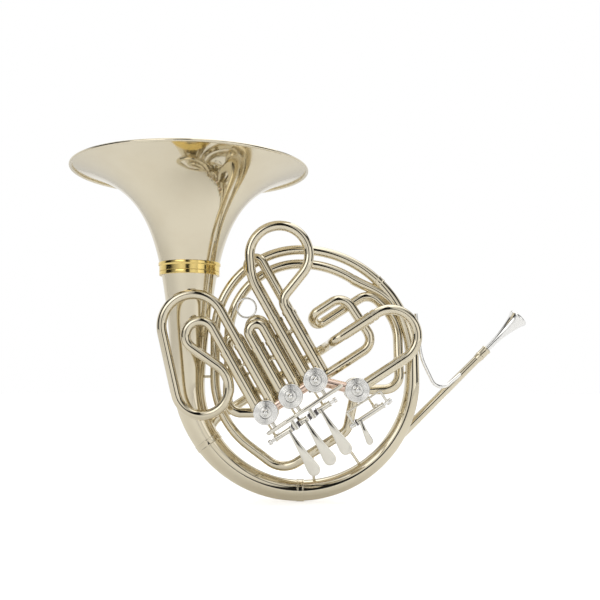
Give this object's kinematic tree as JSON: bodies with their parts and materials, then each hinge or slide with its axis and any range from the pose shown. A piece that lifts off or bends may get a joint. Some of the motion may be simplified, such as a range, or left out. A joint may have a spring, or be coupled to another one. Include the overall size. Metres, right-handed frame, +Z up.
{
  "type": "french horn",
  "caption": "Double horn with a wide flared screw bell, coiled tapered body, rotary valves worked by levers, and pull-out tuning slides.",
  "frame": {"origin": "centre of the bell mouth, in the plane of the rim", "axes": "+Z up the bell axis out of the mouth, +X across the coiled body towards the mouthpiece, +Y away from the finger levers"},
  "size_m": [0.6094, 0.316, 0.4374],
  "materials": {
    "nickel_silver": "polished, clear lacquered nickel silver",
    "silver_plate": "polished silver-white",
    "gold_brass": "polished",
    "rose_brass": "polished",
    "rotor_bronze": "fine machined",
    "spring_steel": "dark satin",
    "cork": "matt"
  },
  "bodies": {
    "body": {"bell_ring_lower": "gold_brass", "bell_tail": "nickel_silver", "bell_branch": "nickel_silver", "return_tube": "nickel_silver", "f_crook": "nickel_silver", "cross_tube": "nickel_silver", "inner_arc": "nickel_silver", "leadpipe": "nickel_silver", "guard_wire": "silver_plate", "mouthpiece_receiver": "nickel_silver", "ferrules": "nickel_silver", "braces": "nickel_silver", "main_slide_sleeves": "nickel_silver", "f_slide_sleeves": "nickel_silver", "bb_slide_sleeves": "nickel_silver", "valve_casing_1": "nickel_silver", "valve_casing_2": "nickel_silver", "valve_casing_3": "nickel_silver", "change_valve_casing": "nickel_silver", "valve_knuckles": "rose_brass", "valve_caps": "silver_plate", "valve_back_plates": "nickel_silver", "stop_bumpers": "cork", "lever_stand": "silver_plate", "hinge_rods": "spring_steel", "lever_springs": "spring_steel"},
    "bell": {"bell_flare": "nickel_silver", "bell_ring_upper": "gold_brass"},
    "mouthpiece": {"mouthpiece": "silver_plate"},
    "main_slide": {"main_tuning_slide": "nickel_silver"},
    "f_slide_1": {"f_slide_1": "nickel_silver"},
    "f_slide_2": {"f_slide_2": "nickel_silver"},
    "f_slide_3": {"f_slide_3": "nickel_silver"},
    "bb_slide_1": {"bb_slide_1": "nickel_silver"},
    "bb_slide_2": {"bb_slide_2": "nickel_silver", "pull_ring": "silver_plate"},
    "bb_slide_3": {"bb_slide_3": "nickel_silver"},
    "valve_1": {"rotor_1": "rotor_bronze", "stop_arm_1": "nickel_silver"},
    "finger_lever_1": {"lever_1": "silver_plate"},
    "valve_link_1": {"link_1": "nickel_silver"},
    "valve_2": {"rotor_2": "rotor_bronze", "stop_arm_2": "nickel_silver"},
    "finger_lever_2": {"lever_2": "silver_plate"},
    "valve_link_2": {"link_2": "nickel_silver"},
    "valve_3": {"rotor_3": "rotor_bronze", "stop_arm_3": "nickel_silver"},
    "finger_lever_3": {"lever_3": "silver_plate"},
    "valve_link_3": {"link_3": "nickel_silver"},
    "change_valve": {"change_rotor": "rotor_bronze", "change_stop_arm": "nickel_silver"},
    "thumb_lever": {"thumb_lever": "silver_plate"},
    "change_link": {"change_link": "nickel_silver"}
  },
  "joints": [
    {"name": "bell_pull", "type": "slide", "parent": "body", "child": "bell", "axis": [0, 0, 1], "range_m": [0, 0.03]},
    {"name": "mouthpiece_pull", "type": "slide", "parent": "body", "child": "mouthpiece", "axis": [0.7141, 0, 0.7001], "range_m": [0, 0.03]},
    {"name": "main_slide_pull", "type": "slide", "parent": "body", "child": "main_slide", "axis": [0.8387, 0, 0.5446], "range_m": [0, 0.035]},
    {"name": "f_slide_1_pull", "type": "slide", "parent": "body", "child": "f_slide_1", "axis": [-0.4894, 0, 0.8721], "range_m": [0, 0.035]},
    {"name": "f_slide_2_pull", "type": "slide", "parent": "body", "child": "f_slide_2", "axis": [-0.4894, 0, 0.8721], "range_m": [0, 0.045]},
    {"name": "f_slide_3_pull", "type": "slide", "parent": "body", "child": "f_slide_3", "axis": [-0.4894, 0, 0.8721], "range_m": [0, 0.015]},
    {"name": "bb_slide_1_pull", "type": "slide", "parent": "body", "child": "bb_slide_1", "axis": [-0.4894, 0, 0.8721], "range_m": [0, 0.03]},
    {"name": "bb_slide_2_pull", "type": "slide", "parent": "body", "child": "bb_slide_2", "axis": [-0.4894, 0, 0.8721], "range_m": [0, 0.03]},
    {"name": "bb_slide_3_pull", "type": "slide", "parent": "body", "child": "bb_slide_3", "axis": [-0.4894, 0, 0.8721], "range_m": [0, 0.025]},
    {"name": "finger_lever_1_press", "type": "hinge", "parent": "body", "child": "finger_lever_1", "pos_m": [0.18455, -0.056, -0.30836], "axis": [0.8387, 0, 0.5446], "range_deg": [0, 14], "stiffness_Nm_per_rad": 0.05, "springref_deg": -28.65},
    {"name": "valve_1_turn", "type": "hinge", "parent": "body", "child": "valve_1", "pos_m": [0.16603, 0, -0.27985], "axis": [0, 1, 0], "range_deg": [0, 90]},
    {"name": "valve_link_1_stroke", "type": "slide", "parent": "body", "child": "valve_link_1", "axis": [-0.5446, 0, 0.8387], "range_m": [0, 0.015]},
    {"name": "finger_lever_2_press", "type": "hinge", "parent": "body", "child": "finger_lever_2", "pos_m": [0.15352, -0.056, -0.32852], "axis": [0.8387, 0, 0.5446], "range_deg": [0, 14], "stiffness_Nm_per_rad": 0.05, "springref_deg": -28.65},
    {"name": "valve_2_turn", "type": "hinge", "parent": "body", "child": "valve_2", "pos_m": [0.135, 0, -0.3], "axis": [0, 1, 0], "range_deg": [0, 90]},
    {"name": "valve_link_2_stroke", "type": "slide", "parent": "body", "child": "valve_link_2", "axis": [-0.5446, 0, 0.8387], "range_m": [0, 0.015]},
    {"name": "finger_lever_3_press", "type": "hinge", "parent": "body", "child": "finger_lever_3", "pos_m": [0.12249, -0.056, -0.34867], "axis": [0.8387, 0, 0.5446], "range_deg": [0, 14], "stiffness_Nm_per_rad": 0.05, "springref_deg": -28.65},
    {"name": "valve_3_turn", "type": "hinge", "parent": "body", "child": "valve_3", "pos_m": [0.10397, 0, -0.32015], "axis": [0, 1, 0], "range_deg": [0, 90]},
    {"name": "valve_link_3_stroke", "type": "slide", "parent": "body", "child": "valve_link_3", "axis": [-0.5446, 0, 0.8387], "range_m": [0, 0.015]},
    {"name": "thumb_lever_press", "type": "hinge", "parent": "body", "child": "thumb_lever", "pos_m": [0.23628, -0.056, -0.32008], "axis": [0.8387, 0, 0.5446], "range_deg": [0, 14], "stiffness_Nm_per_rad": 0.05, "springref_deg": -28.65},
    {"name": "change_valve_turn", "type": "hinge", "parent": "body", "child": "change_valve", "pos_m": [0.2183, 0, -0.29241], "axis": [0, 1, 0], "range_deg": [-90, 0]},
    {"name": "change_link_stroke", "type": "slide", "parent": "body", "child": "change_link", "axis": [-0.5446, 0, 0.8387], "range_m": [0, 0.015]}
  ],
  "couplings": [
    {"joint": "valve_1_turn", "follows": "finger_lever_1_press", "ratio": 6.4286},
    {"joint": "valve_link_1_stroke", "follows": "finger_lever_1_press", "m_per_rad": 0.061384},
    {"joint": "valve_2_turn", "follows": "finger_lever_2_press", "ratio": 6.4286},
    {"joint": "valve_link_2_stroke", "follows": "finger_lever_2_press", "m_per_rad": 0.061384},
    {"joint": "valve_3_turn", "follows": "finger_lever_3_press", "ratio": 6.4286},
    {"joint": "valve_link_3_stroke", "follows": "finger_lever_3_press", "m_per_rad": 0.061384},
    {"joint": "change_valve_turn", "follows": "thumb_lever_press", "ratio": -6.4286},
    {"joint": "change_link_stroke", "follows": "thumb_lever_press", "m_per_rad": 0.061384}
  ]
}
